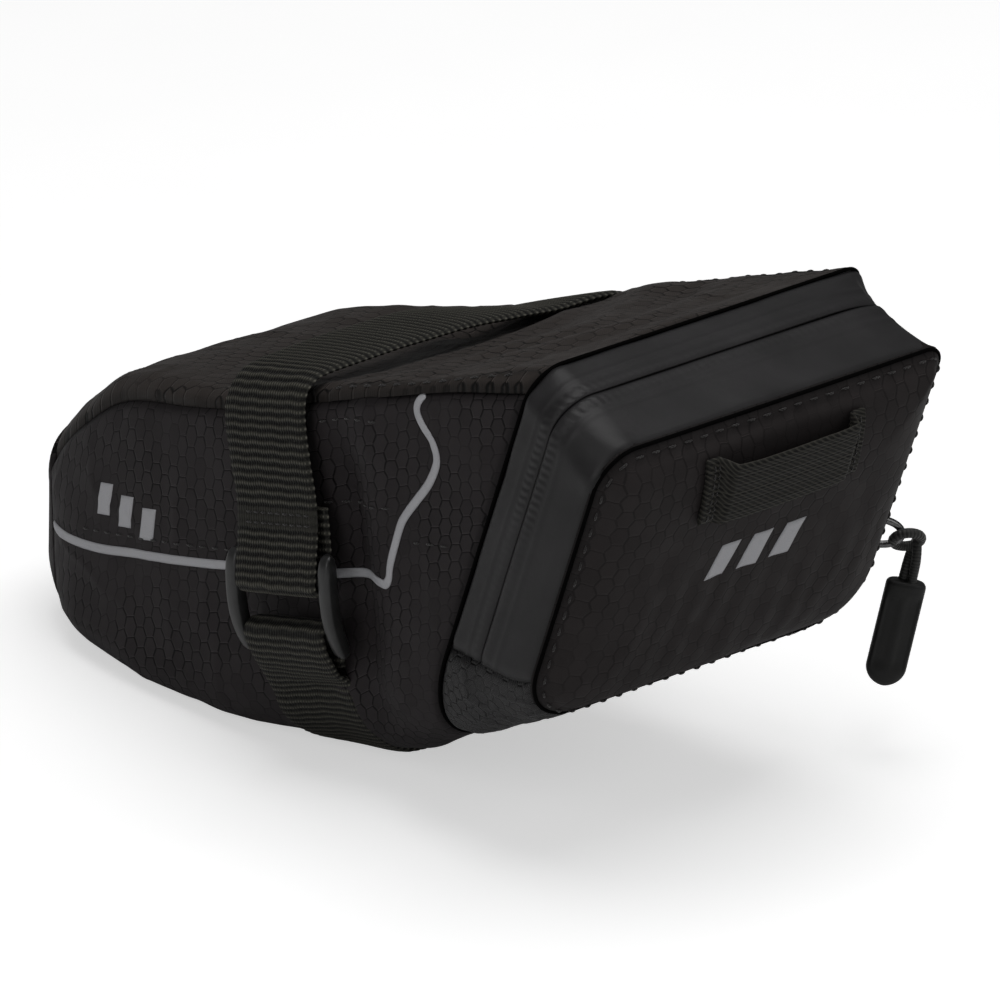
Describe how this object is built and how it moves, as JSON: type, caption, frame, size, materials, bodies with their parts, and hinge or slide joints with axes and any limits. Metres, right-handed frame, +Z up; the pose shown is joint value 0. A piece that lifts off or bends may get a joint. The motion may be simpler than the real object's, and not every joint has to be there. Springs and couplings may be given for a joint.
{
  "type": "bicycle saddle bag",
  "caption": "Wedge-shaped fabric bag that hangs under a bicycle saddle by a webbing strap with side buckles; the rear panel zips open as a lid.",
  "frame": {"origin": "centre of the bounding box in plan, at the underside of the strap that runs under the bag", "axes": "+Y forward along the bag to its nose, +Z up to the saddle, +X to the rider's right"},
  "size_m": [0.1188, 0.2124, 0.1134],
  "materials": {
    "ripstop": "woven hexagonal ripstop with a faint coating",
    "coated_band": "smooth coated zip band, satin",
    "patch": "hexagonal ripstop patch",
    "webbing": "ribbed nylon webbing",
    "loop_webbing": "flat woven webbing",
    "foam": "closed-cell foam stiffener",
    "tray": "thermoformed sheet",
    "coil": "zip coil",
    "slider": "black painted die casting",
    "pull_grip": "moulded grip",
    "pull_cord": "thin cord",
    "buckle": "satin acetal",
    "reflective": "retroreflective print"
  },
  "bodies": {
    "bag": {"nose_panel": "ripstop", "top_panel": "ripstop", "bottom_panel": "ripstop", "left_side_panel": "ripstop", "right_side_panel": "ripstop", "base_tray": "tray", "zip_band_front": "coated_band", "lower_gusset": "patch", "left_corner_patch": "patch", "right_corner_patch": "patch", "zip_coil_front": "coil", "rear_panel_lower": "ripstop", "left_reflective_line": "reflective", "right_reflective_line": "reflective", "left_side_mark": "reflective", "right_side_mark": "reflective", "upper_strap": "webbing", "lower_strap": "webbing", "left_buckle": "buckle", "right_buckle": "buckle"},
    "lid": {"rear_panel": "ripstop", "rear_panel_foam": "foam", "zip_band_rear": "coated_band", "zip_coil_rear": "coil", "light_loop": "loop_webbing", "rear_mark": "reflective"},
    "slider": {"zip_slider": "slider"},
    "ring": {"pull_ring": "slider"},
    "pull": {"pull_tab": "pull_grip", "pull_cord": "pull_cord"}
  },
  "joints": [
    {"name": "lid_open", "type": "hinge", "parent": "bag", "child": "lid", "pos_m": [-0.00797, -0.08273, 0.04014], "axis": [1, 0, 0], "range_deg": [0, 100]},
    {"name": "zip_slide", "type": "slide", "parent": "bag", "child": "slider", "axis": [0, -0.3551, 0.9348], "range_m": [0, 0.042]},
    {"name": "ring_swing", "type": "hinge", "parent": "slider", "child": "ring", "pos_m": [0.04177, -0.06499, 0.05116], "axis": [0, -0.3551, 0.9348], "range_deg": [-15, 60]},
    {"name": "pull_swing", "type": "hinge", "parent": "ring", "child": "pull", "pos_m": [0.05585, -0.07366, 0.04423], "axis": [0.8, -0.5609, -0.2131], "range_deg": [-5, 80]}
  ]
}
